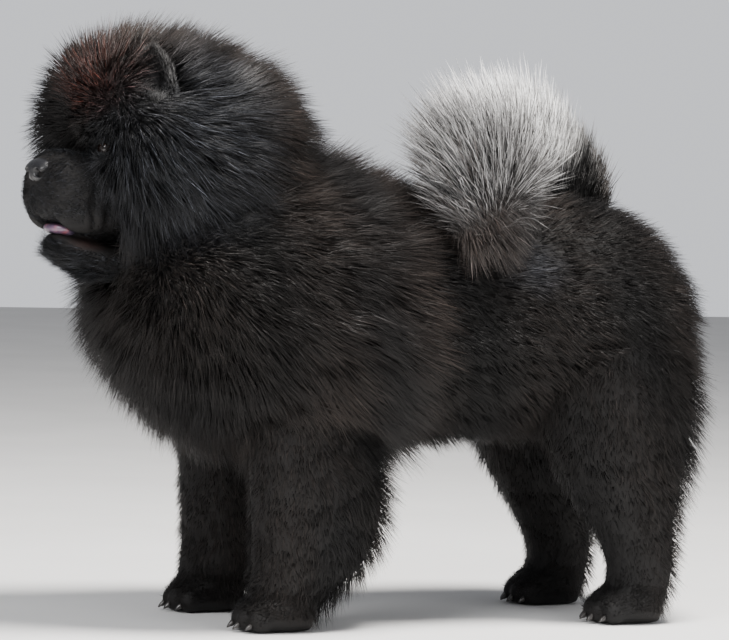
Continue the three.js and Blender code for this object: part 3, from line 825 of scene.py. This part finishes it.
def lid_mesh(side):
    """The two lids as one almond ring round the eye, thicker above."""
    gaze, wide, high = eye_axes(side)
    verts = []
    for i in range(LID_STEPS):
        angle = TURN * i / LID_STEPS
        c, s = math.cos(angle), math.sin(angle)
        opening = LID_UPPER if s > 0 else LID_LOWER
        flat = wide * (LID_HALF_WIDTH * c) + high * (LID_HALF_HEIGHT * s * opening + LID_MIDDLE)
        square = LID_BALL**2 - (LID_HALF_WIDTH * c) ** 2 * LID_BALL_WIDE - (LID_BALL_HIGH * s) ** 2
        depth = math.sqrt(max(square, LID_LEAST**2))
        middle = eye_place(side) + flat + gaze * (depth + LID_FORWARD)
        outward = unit(wide * c + high * s * LID_STEEPNESS)
        thick = LID_THICK + LID_THICKER_ABOVE * max(s, 0)
        for k in range(LID_SIDES):
            b = TURN * k / LID_SIDES
            out = thick * (math.cos(b) + LID_OUTSET)
            forward = thick * LID_FLATNESS * math.sin(b) - LID_FORWARD
            verts.append(middle + outward * out + gaze * forward)
    return np.array(verts), ring_faces(LID_STEPS, LID_SIDES, joined=True)


def join_lids(skin):
    lids = mesh_object("lids", *merged([lid_mesh(side) for _, side in SIDES]))
    bpy.ops.object.select_all(action="DESELECT")
    skin.select_set(True)
    lids.select_set(True)
    bpy.context.view_layer.objects.active = skin
    bpy.ops.object.join()


# Tufts

ATLAS_ACROSS, ATLAS_DOWN = 4, 5
CHART_START, CHART_SPAN = 0.02, 0.94
PATCH = 0.003
PIECE_LIMIT = 190000
SAMPLES_T, SAMPLES_A = 70, 72

# A tuft's cross-section: how wide it is at places along it, how flat, how rolled, and its lowest height in mm
TUFT_WIDTHS = ([0, 0.35, 0.7, 1], [0.8, 1, 0.72, 0.2])
TUFT_FLATNESS, TUFT_ROLL, TUFT_LOWEST = 0.6, 0.5, 1.0
TUFT_BEND, TIP_POWER, SIDE_NUDGE = 0.16, 1.3, 1e-6

# How the coat wanders: waves as (share, size in millimetres, seed), and how far single tufts depart from them
TURN_WAVES = ((1, 60, 7), (0.7, 19, 8))
LENGTH_WAVES = ((0.13, 38, 9),)
LIFT_WAVES = ((0.16, 34, 13), (0.14, 14, 14))
TURN_SPREAD, LIFT_SPREAD, AIM_SPREAD, CURL_SPREAD = 0.13, 0.14, 0.16, 0.05
LENGTH_RANGE, WIDTH_RANGE, LIFT_RANGE = (0.7, 1.1), (0.7, 1.3), (0.1, 1.5)
SKIN_SHARE, FORM_SHARE = 0.7, 0.3
AIM_OUTWARD, AIM_LEAST_LIFT = 0.3, 0.15
DARK_HAIRS, DARK_HAIR_SILVER, ROOT_FADE, ROOT_SILVER = 0.24, 0.12, 0.6, 0.25
BRIGHTEST = 0.95


def sample(form, count, t_range, a_range):
    """Roots spread evenly over a form's surface: their t and a."""
    t_edges, a_edges = np.linspace(*t_range, SAMPLES_T + 1), np.linspace(*a_range, SAMPLES_A + 1)
    t_middles, a_middles = (t_edges[1:] + t_edges[:-1]) / 2, (a_edges[1:] + a_edges[:-1]) / 2
    tm, am = (grid.ravel() for grid in np.meshgrid(t_middles, a_middles, indexing="ij"))
    along, around, _ = form.slopes(tm, am)
    weight = np.linalg.norm(np.cross(along, around), axis=1)
    pick = rng.choice(len(tm), size=count, p=weight / weight.sum())
    t = tm[pick] + (rng.random(count) - 0.5) * (t_edges[1] - t_edges[0])
    a = am[pick] + (rng.random(count) - 0.5) * (a_edges[1] - a_edges[0])
    return t, a


def combed(form, a, found, along, around, normals, fall, wander):
    """The way the coat lies on the skin: down the form, turned by fall and wandering in waves."""
    turn = fall * np.sin(a) if form.lengthwise else fall
    turn = turn + wander * waves(found, TURN_WAVES) + TURN_SPREAD * rng.normal(size=len(a))
    lie = unit(along) * np.cos(turn)[:, None] + unit(around) * np.sin(turn)[:, None]
    return unit(lie - normals * dot(lie, normals))


def lifted(found, lie, normals, stand):
    """The way each tuft leaves the skin: its lie, raised by stand, in radians."""
    lift = waves(found, LIFT_WAVES, stand) + LIFT_SPREAD * rng.normal(size=len(found))
    lift = np.clip(lift, *LIFT_RANGE)
    return lie * np.cos(lift)[:, None] + normals * np.sin(lift)[:, None]


def aimed(found, normals, aim):
    lean = unit(aim(found) + AIM_OUTWARD * normals + AIM_SPREAD * rng.normal(size=found.shape))
    raised = np.maximum(AIM_LEAST_LIFT - dot(lean, normals), 0)
    return unit(lean + normals * raised)


def grow(roots, lie, lean, length, droop, curl, bends):
    """The middle lines of the tufts, in millimetres: bends + 1 points each, from the root to the tip."""
    side = unit(np.cross(lie, lean) + SIDE_NUDGE)
    points = []
    for s in np.linspace(0, 1, bends + 1):
        p = roots + lean * (length * s)[:, None]
        p = p + lie * (length * TUFT_BEND * s * s)[:, None] + side * (curl * length * s * s)[:, None]
        p[:, 2] -= droop * length * s * s
        points.append(p)
    return points, side


def tuft_points(points, side, width):
    """The corners of closed three-sided tufts round their middle lines."""
    rings = len(points) - 1
    shares = np.interp(np.arange(rings) / rings, *TUFT_WIDTHS)
    verts = np.zeros((len(width), rings * 3 + 1, 3))
    for i in range(rings):
        run = unit(points[i + 1] - points[i])
        high = unit(np.cross(side, run))
        half = (width * shares[i] / 2)[:, None]
        for k in range(3):
            b = TURN * k / 3 + TUFT_ROLL
            across, up = side * half * math.cos(b), high * half * TUFT_FLATNESS * math.sin(b)
            verts[:, i * 3 + k] = points[i] + across + up
    verts[:, -1] = points[-1]
    verts[..., 2] = np.maximum(verts[..., 2], TUFT_LOWEST)
    return verts


def tuft_faces(rings):
    """The faces of one tuft: its root, its sides and its tip."""
    faces = [(0, 2, 1)]
    for i in range(rings - 1):
        for k in range(3):
            here, there, m = i * 3, i * 3 + 3, (k + 1) % 3
            faces += [(here + k, here + m, there + m), (here + k, there + m, there + k)]
    base = (rings - 1) * 3
    faces += [(base + k, base + (k + 1) % 3, rings * 3) for k in range(3)]
    return np.array(faces)


def tuft_piece(name, verts, shade, faces, uv):
    """One object of many tufts, which all have the same faces."""
    count, each = verts.shape[:2]
    corners = (faces[None] + (np.arange(count) * each)[:, None, None]).reshape(-1)
    total = count * len(faces)
    mesh = bpy.data.meshes.new(name)
    mesh.vertices.add(count * each)
    mesh.vertices.foreach_set("co", metres(verts).astype(np.float32).ravel())
    mesh.loops.add(len(corners))
    mesh.loops.foreach_set("vertex_index", corners.astype(np.int32))
    mesh.polygons.add(total)
    mesh.polygons.foreach_set("loop_start", np.arange(total, dtype=np.int32) * 3)
    mesh.polygons.foreach_set("use_smooth", np.ones(total, bool))
    mesh.uv_layers.new(name="OFBake").data.foreach_set("uv", uv.astype(np.float32).ravel())
    mesh.update()
    piece = new_object(name, mesh)
    colour_points(piece, shade.reshape(-1, 3))
    return piece


def tuft_pieces(name, points, side, width, dark, tips, charts):
    """Tufts along their middle lines, coloured from dark to tips, in pieces of a limited size."""
    rings = len(points) - 1
    faces = tuft_faces(rings)
    corners = range(rings * 3 + 1)
    verts = tuft_points(points, side, width)
    shade = np.stack([dark + (tips - dark) * (v // 3 / rings) ** TIP_POWER for v in corners], 1)
    corner_uv = np.array([((v % 3) / 2 if v < rings * 3 else 0.5, v // 3 / rings) for v in corners])
    face_uv = PATCH * corner_uv[faces.ravel()]
    cuts = np.array_split(np.arange(len(width)), max(1, -(-len(width) // (PIECE_LIMIT // len(faces)))))
    for number, part in enumerate(cuts, 1):
        label = name if len(cuts) == 1 else f"{name}_{number}"
        yield tuft_piece(label, verts[part], shade[part], faces, charts[part][:, None, :] + face_uv[None])


class Coat:
    """Roots tufts on the skin, each cover in a chart of its own."""

    def __init__(self, skin):
        skin.data.calc_loop_triangles()
        tris = np.zeros(len(skin.data.loop_triangles) * 3, np.int32)
        skin.data.loop_triangles.foreach_get("vertices", tris)
        self.tree = BVHTree.FromPolygons(coordinates(skin.data).tolist(), tris.reshape(-1, 3).tolist())
        self.material = coat_material()
        self.chart = 0

    def rooted(self, points, reach):
        """The nearest places on the skin, and which points have one within reach, in millimetres."""
        found, normals, keep = np.zeros_like(points), np.zeros_like(points), np.zeros(len(points), bool)
        for i, p in enumerate(metres(points)):
            place, normal, _, _ = self.tree.find_nearest(Vector(p), reach * MM)
            if place is not None:
                found[i], normals[i], keep[i] = place, normal, True
        return millimetres(found), normals, keep

    def chart_places(self, t, a, a_range):
        """Each tuft's place in the atlas's next free chart."""
        col, row = self.chart % ATLAS_ACROSS, self.chart // ATLAS_ACROSS
        self.chart += 1
        across = (a - a_range[0]) / (a_range[1] - a_range[0])
        u = (col + CHART_START + CHART_SPAN * across) / ATLAS_ACROSS
        v = (row + CHART_START + CHART_SPAN * t) / ATLAS_DOWN
        return np.stack([u, v], -1)

    def cover(self, name, form, count, length, stand, width, t_range, a_range=(0, TURN), fall=0.0,
              droop=0.06, plume=0.0, bright=1.0, wander=0.25, bent=(0.3, 2), reach=7.0, slot="coat", sink=2.0,
              skip=None, aim=None, tint=tip_colour, glint=0.5):
        """Covers part of a form. Most values may be functions of t, a and the point.

        bent is the share of the tufts that bend, and in how many steps. aim, where it is given, is the tufts'
        own direction at a point. glint is how unevenly light they are.
        """
        t, a = sample(form, count, t_range, a_range)
        along, around, out = form.slopes(t, a)
        found, normals, keep = self.rooted(form.point(t, a), reach)
        if skip is not None:
            keep &= ~skip(found)
        kept = (v[keep] for v in (t, a, found, normals, along, around, out))
        t, a, found, normals, along, around, out = kept

        def value(given):
            return given(t, a, found) if callable(given) else np.full(len(t), float(given))

        normals = unit(normals * SKIN_SHARE + out * FORM_SHARE)
        lie = combed(form, a, found, along, around, normals, value(fall), wander)
        size = value(length) * waves(found, LENGTH_WAVES, 1) * rng.uniform(*LENGTH_RANGE, len(t))
        lean = lifted(found, lie, normals, value(stand))
        if aim is not None:
            lean = aimed(found, normals, aim)
        thick = value(width) * rng.uniform(*WIDTH_RANGE, len(t))
        silver = value(plume) * np.where(rng.random(len(t)) < DARK_HAIRS, DARK_HAIR_SILVER, 1)
        tips = tint(found, silver)
        light = rng.lognormal(-0.5 * glint**2, glint, len(t)) * value(bright)
        tips = np.minimum(tips * light[:, None], BRIGHTEST)
        dark = BLACK_ROOT * (1 - silver[:, None] * ROOT_FADE) + SILVER * ROOT_SILVER * silver[:, None]
        curl = rng.normal(size=len(t)) * CURL_SPREAD
        charts = self.chart_places(t, a, a_range)
        share, steps = bent
        every, split = np.arange(len(t)), int(share * len(t))
        for label, bends, part in ((name, steps, every[:split]), (f"{name}_fine", 1, every[split:])):
            if len(part) == 0:
                continue
            roots = found[part] - normals[part] * sink
            points, side = grow(roots, lie[part], lean[part], size[part], droop, curl[part], bends)
            for piece in tuft_pieces(label, points, side, thick[part], dark[part], tips[part], charts[part]):
                dress(piece, self.material, slot)


# Where the coat changes, in millimetres: round the eyes, lids, ears' cups and nose, and at the muzzle's root
SHORT_ROUND_EYE = (22, 26, 15)
BROW_REACH = (34, 34, 30)
LID_OPENING = (15, 10)
CUP_Y, CUP_Z, CUP_REACH = EAR["y"] - 6, EAR["z"] + 8, (24, 20, 30)
NOSE_REACH = (27, 16, 19)
ROOT_Z, ROOT_HALF_WIDTH, ROOT_HALF_HEIGHT, ROOT_BACK_Y = 508, 60, 56, -400
# And along t: the forehead's end and its fade, and the mane's end as (start, span)
FOREHEAD_END, FOREHEAD_FADE = 0.3, 0.28
MANE_END = (0.42, 0.25)


def brow_mask(p):
    """1 round the eyes, where the hair is short, falling to 0."""
    return np.clip(sum(near(p, eye_place(side), BROW_REACH) for _, side in SIDES), 0, 1)


def face_mask(p):
    """True on the short-haired middle of the face: the muzzle's root and the eyes."""
    q = unturn(p)
    across, up = q[:, 0] / ROOT_HALF_WIDTH, (q[:, 2] - ROOT_Z) / ROOT_HALF_HEIGHT
    muzzle = (across**2 + up**2 < 1) & (q[:, 1] < ROOT_BACK_Y)
    return muzzle | (sum(near(p, eye_place(side), SHORT_ROUND_EYE) for _, side in SIDES) > 0)


def lid_mask(p):
    """True on the lids and in the eye's own opening."""
    found = np.zeros(len(p), bool)
    for _, side in SIDES:
        _, wide, high = eye_axes(side)
        away = p - eye_place(side)
        found |= ((away @ wide) / LID_OPENING[0]) ** 2 + ((away @ high) / LID_OPENING[1]) ** 2 < 1
    return found


def ear_mask(p):
    return sum(near(unturn(p), (side * EAR["x"], CUP_Y, CUP_Z), CUP_REACH) for _, side in SIDES) > 0


def nose_mask(p):
    return near(unturn(p), (0, NOSE["y"], NOSE["z"]), NOSE_REACH) > 0


def forehead(t):
    """1 at the front of the head, falling to 0 over the eyes."""
    return np.clip((FOREHEAD_END - t) / FOREHEAD_FADE, 0, 1)


def mane_end(t):
    """0 on the ruff, rising to 1 where its long hair ends on the back."""
    return np.clip(past(t, *MANE_END), 0, 1)


def before(a):
    """1 at the front of an upright form or on top of a lengthwise one, and 0 beyond its sides."""
    return np.clip(np.cos(a), 0, 1)


def behind(a):
    """The same for the back, or underneath."""
    return np.clip(-np.cos(a), 0, 1)


# The coat's regions, in the order of their random draws and charts

def cover_head(coat):
    """A short forehead over the eyes, and a ruff that stands off round the face."""
    coat.cover(
        "coat_head", HEAD, 50000,
        length=lambda t, a, p: (54 - 31 * forehead(t) ** 0.8) * (1 - 0.6 * brow_mask(p)),
        stand=lambda t, a, p: 1.0 + 0.2 * forehead(t),
        width=1.1, t_range=(0.002, 0.93), fall=0.5, droop=0.08, glint=0.9, wander=0.4,
        skip=lambda p: face_mask(p) | ear_mask(p) | lid_mask(p))


def cover_body(coat):
    coat.cover(
        "coat_neck", NECK, 56000, length=lambda t, a, p: 46 + 18 * mane_end(t), stand=0.98, width=1.15,
        bright=lambda t, a, p: 1 + 0.7 * mane_end(t),
        t_range=(0.002, 0.8), fall=lambda t, a, p: 0.95 - 0.7 * t, droop=0.12)
    coat.cover(
        "coat_torso", TRUNK, 52000, length=lambda t, a, p: 32 + 14 * np.clip(t - 0.6, 0, 0.4), stand=0.92,
        width=1.15, t_range=(0.15, 0.998), fall=0.5, droop=0.1,
        bright=lambda t, a, p: np.interp(p[:, 1], [-100, -20, 70], [0.4, 0.6, 1]))


def cover_legs(coat):
    for name, _ in SIDES:
        coat.cover(
            f"coat_leg_front_{name}", FORELEGS[name], 14000,
            length=lambda t, a, p: 17 + 20 * behind(a) * np.interp(t, [0.7, 0.9], [1, 0.6]),
            stand=lambda t, a, p: 0.55 + 0.35 * behind(a), width=1.05, t_range=(0.1, 0.96), droop=0.05)
        coat.cover(
            f"coat_leg_hind_{name}", THIGHS[name], 17000,
            length=lambda t, a, p: (21 + 20 * behind(a)) * np.interp(t, [0.4, 0.62], [1, 0.6]),
            stand=lambda t, a, p: 0.65 + 0.3 * behind(a), width=1.1, t_range=(0.05, 0.96), droop=0.05)


# Where the plume's hairs fan out from, low in the left hip, and the way its fringe hangs
PLUME_FAN = np.array([40, 190, 340])
PLUME_RISE = 0.25 * np.array([0, 0, 1])
FRINGE_WAY = np.array([0.5, 0.55, -0.75])


def plume_share(t, a, p):
    """How silver the hair is: not at the tail's dark root, and less low on the flank."""
    return np.interp(t, [0.24, 0.42], [0, 1]) * np.interp(p[:, 2], [445, 505], [0.2, 1])


def plume_length(t, a, p):
    """Longest on the curl's last third, and shorter low on the flank."""
    along = 100 * np.interp(t, [0, 0.25, 0.5, 0.7, 1], [0.35, 0.6, 0.95, 1.1, 0.9])
    return along * np.interp(p[:, 2], [450, 520], [0.6, 1])


def cover_tail(coat):
    """The plume's hairs all point away from one place, as a fan, and a fringe hangs from the tail's end."""
    shared = {"a_range": (-math.pi, math.pi), "slot": "plume", "sink": 4}
    coat.cover(
        "coat_tail", TAIL, 13000, length=plume_length, stand=0.85, width=1.3, t_range=(0.02, 1.0),
        bent=(0.6, 3), plume=plume_share, droop=0.0,
        aim=lambda p: unit(unit(p - PLUME_FAN) + PLUME_RISE), **shared)
    coat.cover(
        "coat_tail_fringe", TAIL, 5000, length=58, stand=0.7, width=1.15, t_range=(0.62, 1.0), wander=0.6,
        bent=(0.5, 2), plume=0.16, bright=1.6,
        aim=lambda p: unit(FRINGE_WAY + 0.5 * unit(p - PLUME_FAN)), **shared)


SHORT = {"bent": (0, 1), "slot": "short_fur", "sink": 0.6, "droop": 0.0}


def cover_face(coat):
    coat.cover(
        "coat_muzzle", MUZZLE, 17000, length=7, stand=0.42, width=0.75, t_range=(0.1, 0.97), reach=14,
        skip=nose_mask, tint=face_colour, **SHORT)
    coat.cover(
        "coat_jaw", JAW, 5000, length=lambda t, a, p: 9 + 14 * behind(a), stand=0.5,
        width=0.8, t_range=(0.05, 0.97), a_range=(1.5, TURN - 1.5), reach=5, tint=face_colour, **SHORT)
    coat.cover(
        "coat_face", HEAD, 6000, length=10, stand=0.6, width=0.85, t_range=(0.002, 0.18), reach=30,
        skip=lambda p: ~face_mask(p) | lid_mask(p), tint=face_colour, **SHORT)


def cover_ears_and_paws(coat):
    for name, side in SIDES:
        ear = Form(EAR_ROWS, place=lambda p: ear_points(side, p))
        # The ear's hair is darkest in front, in its cup: painted shade in the hollow
        coat.cover(
            f"coat_ear_{name}", ear, 5600, length=lambda t, a, p: 10 + 4 * before(a),
            stand=0.5, width=0.85, t_range=(0.02, 0.99), reach=18,
            bright=lambda t, a, p: 0.5 - 0.35 * before(a), **SHORT)
        for end, paw_y in PAW_ENDS:
            x, y, _ = paw_middle(side, paw_y)
            rows = [[r[0] + y, *r[1:]] for r in PAW_ROWS]
            paw = Form(rows, PAW_SQUARE, place=lambda p: p + np.array([x, 0, 0]))
            coat.cover(
                f"coat_paw_{end}_{name}", paw, 3600, length=9, stand=0.45, width=0.85,
                t_range=(0.03, 0.97), a_range=(-1.9, 1.9), reach=12, **SHORT)


def make_coat(skin):
    coat = Coat(skin)
    for cover in (cover_head, cover_body, cover_legs, cover_tail, cover_face, cover_ears_and_paws):
        cover(coat)


# Small parts of the face and feet

# The nose pad's relief, in millimetres across and up from its middle. NOSE_POWERS square its ball off.
NOSE_POWERS = np.array([0.86, 0.8, 0.92])
NOSE_TAPER, NOSE_FLARE, NOSE_FRONT = 0.16, 0.4, 6
NOSTRIL = {"x": 11.5, "z": -2, "half_width": 4.6, "half_height": 4.2, "depth": 12}
SLIT = {"x": 17.5, "drop": 3.2, "half_width": 6.5, "half_height": 1.8, "bow": 0.05, "bow_x": 12, "depth": 6}
WING = {"x": 17, "rise": 3, "half_width": 6, "half_height": 5, "forward": 1.6, "out": 1.2}
GROOVE = {"half_width": 1.4, "depth": 2.2, "top": 4, "run": 10}

# How much of its width the tongue keeps, at places along it
TONGUE_WIDTHS = ([-492, -476, -455], [1, 0.72, 0.5])


def make_eyes():
    glass = simple_material("eye_glass", (0.006, 0.003, 0.002), (0.03, 0.012, 0.006), 120, 0.08, 1.0)
    for name, side in SIDES:
        gaze, wide, high = eye_axes(side)
        look = np.stack([wide, gaze, high], 1)
        verts, faces = ball_mesh((0, 0, 0), (EYE["radius"],) * 3, across=40, up=28)
        piece = mesh_object(f"eyeball_{name}", metres(verts @ look.T + eye_place(side)), faces)
        dress(piece, glass, "eye")
        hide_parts(f"eye_{name}")


def make_nose():
    """A broad pad, flat in front, with a comma-shaped nostril on each side and a groove down the middle."""
    verts, faces = ball_mesh((0, 0, 0), (1, 1, 1), across=96, up=64)
    x, y, z = rounded(verts, NOSE_POWERS).T * np.array([[NOSE["across"]], [NOSE["deep"]], [NOSE["high"]]])
    x = x * (1 - NOSE_TAPER * np.clip(-z / NOSE["high"], -NOSE_FLARE, 1))
    front = np.clip(-y / NOSE_FRONT, 0, 1)
    for _, side in SIDES:
        u, v = side * x, z - NOSTRIL["z"]
        hole = ((u - NOSTRIL["x"]) / NOSTRIL["half_width"]) ** 2 + (v / NOSTRIL["half_height"]) ** 2
        bowed = v + SLIT["drop"] - SLIT["bow"] * (u - SLIT["bow_x"]) ** 2
        slit = -(((u - SLIT["x"]) / SLIT["half_width"]) ** 4) - (bowed / SLIT["half_height"]) ** 2
        y = y + front * (NOSTRIL["depth"] * np.exp(-(hole**2)) + SLIT["depth"] * np.exp(slit))
        wing = -(((u - WING["x"]) / WING["half_width"]) ** 2)
        wing = np.exp(wing - ((v - WING["rise"]) / WING["half_height"]) ** 2)
        y = y - front * WING["forward"] * wing
        x = x + side * wing * WING["out"]
    groove = front * GROOVE["depth"] * np.exp(-((x / GROOVE["half_width"]) ** 2))
    y = y + groove * np.clip((GROOVE["top"] - z) / GROOVE["run"], 0, 1)
    verts = turn_head(np.stack([x, y + NOSE["y"], z + NOSE["z"]], -1))
    piece = mesh_object("nose_pad", metres(verts), faces)
    dress(piece, nose_material(), "nose_leather")
    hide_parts("nose")


def make_tongue():
    verts, faces = form_mesh(TONGUE, steps=24, sides=32)
    verts = unturn(verts)
    verts[:, 0] *= np.interp(verts[:, 1], *TONGUE_WIDTHS)
    piece = mesh_object("tongue_skin", metres(turn_head(verts)), faces)
    dress(piece, tongue_material(), "tongue")
    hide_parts("tongue")


def make_claws():
    horn = simple_material("claw_horn", (0.008, 0.007, 0.007), (0.03, 0.026, 0.024), 300, 0.35, 0.3)
    claw, claw_faces = form_mesh(Form(CLAW_ROWS), steps=10, sides=12)
    claw[:, 1] *= -1
    for end, paw_y in PAW_ENDS:
        for name, side in SIDES:
            paw_x, y, _ = paw_middle(side, paw_y)
            feet = [np.array([paw_x + dx, y + dy - r * CLAW_REACH, CLAW_Z]) for dx, dy, r in TOES]
            verts, faces = merged([(claw + foot, claw_faces) for foot in feet])
            verts[:, 2] = np.maximum(verts[:, 2], CLAW_LOWEST)
            piece = mesh_object(f"claws_{end}_{name}", verts, faces)
            dress(piece, horn, "claw")


# Each lamp's name, place in metres, width, power and colour. All of them shine on one place in the dog.
LAMPS = (
    ("key", (0.9, 0.5, 3.4), 1.1, 380, (1.0, 0.97, 0.93)),
    ("front", (1.8, -2.6, 2.2), 1.6, 110, (1, 1, 1)),
    ("side", (3.6, 1.2, 1.4), 2.0, 55, (1, 1, 1)),
)
LAMP_AIM = Vector((0, 0, 0.35))
FLOOR_REACH = 9
SKY_COLOUR = (0.93, 0.95, 1.0, 1)
SKY_LIGHT = 0.36
SKY_SEEN_EXTRA = 0.55


def make_lamp(name, place, size, power, colour):
    data = bpy.data.lights.new(name, "AREA")
    data.shape = "DISK"
    data.size = size
    data.energy = power
    data.color = colour
    lamp = new_object(name, data)
    lamp.location = Vector(place)
    lamp.rotation_euler = (LAMP_AIM - Vector(place)).to_track_quat("-Z", "Y").to_euler()


def make_world():
    """A soft pale surround that lights the dog less than it looks."""
    world = bpy.data.worlds.new("studio")
    world.use_nodes = True
    nodes, links = world.node_tree.nodes, world.node_tree.links
    strength = nodes.new("ShaderNodeMath")
    strength.operation = "MULTIPLY_ADD"
    links.new(nodes.new("ShaderNodeLightPath").outputs["Is Camera Ray"], strength.inputs[0])
    strength.inputs[1].default_value = SKY_SEEN_EXTRA
    strength.inputs[2].default_value = SKY_LIGHT
    nodes["Background"].inputs["Color"].default_value = SKY_COLOUR
    links.new(strength.outputs["Value"], nodes["Background"].inputs["Strength"])
    bpy.context.scene.world = world


def make_stage():
    r = FLOOR_REACH
    corners = [(-r, -r, 0), (r, -r, 0), (r, r, 0), (-r, r, 0)]
    floor = mesh_object("floor", corners, [(0, 1, 2, 3)], smooth=False)
    pale = simple_material("floor_pale", (0.74, 0.735, 0.73), (0.8, 0.795, 0.79), 3, 0.75)
    floor.data.materials.append(pale)
    floor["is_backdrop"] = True
    make_world()
    for lamp in LAMPS:
        make_lamp(*lamp)


make_camera()
make_stage()
skin = make_skin()
make_coat(skin)
make_eyes()
make_nose()
make_tongue()
make_claws()

cad, now = CAD_BOUNDS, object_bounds()
{"cad": [list(c) for c in cad], "visual": [list(c) for c in now]}
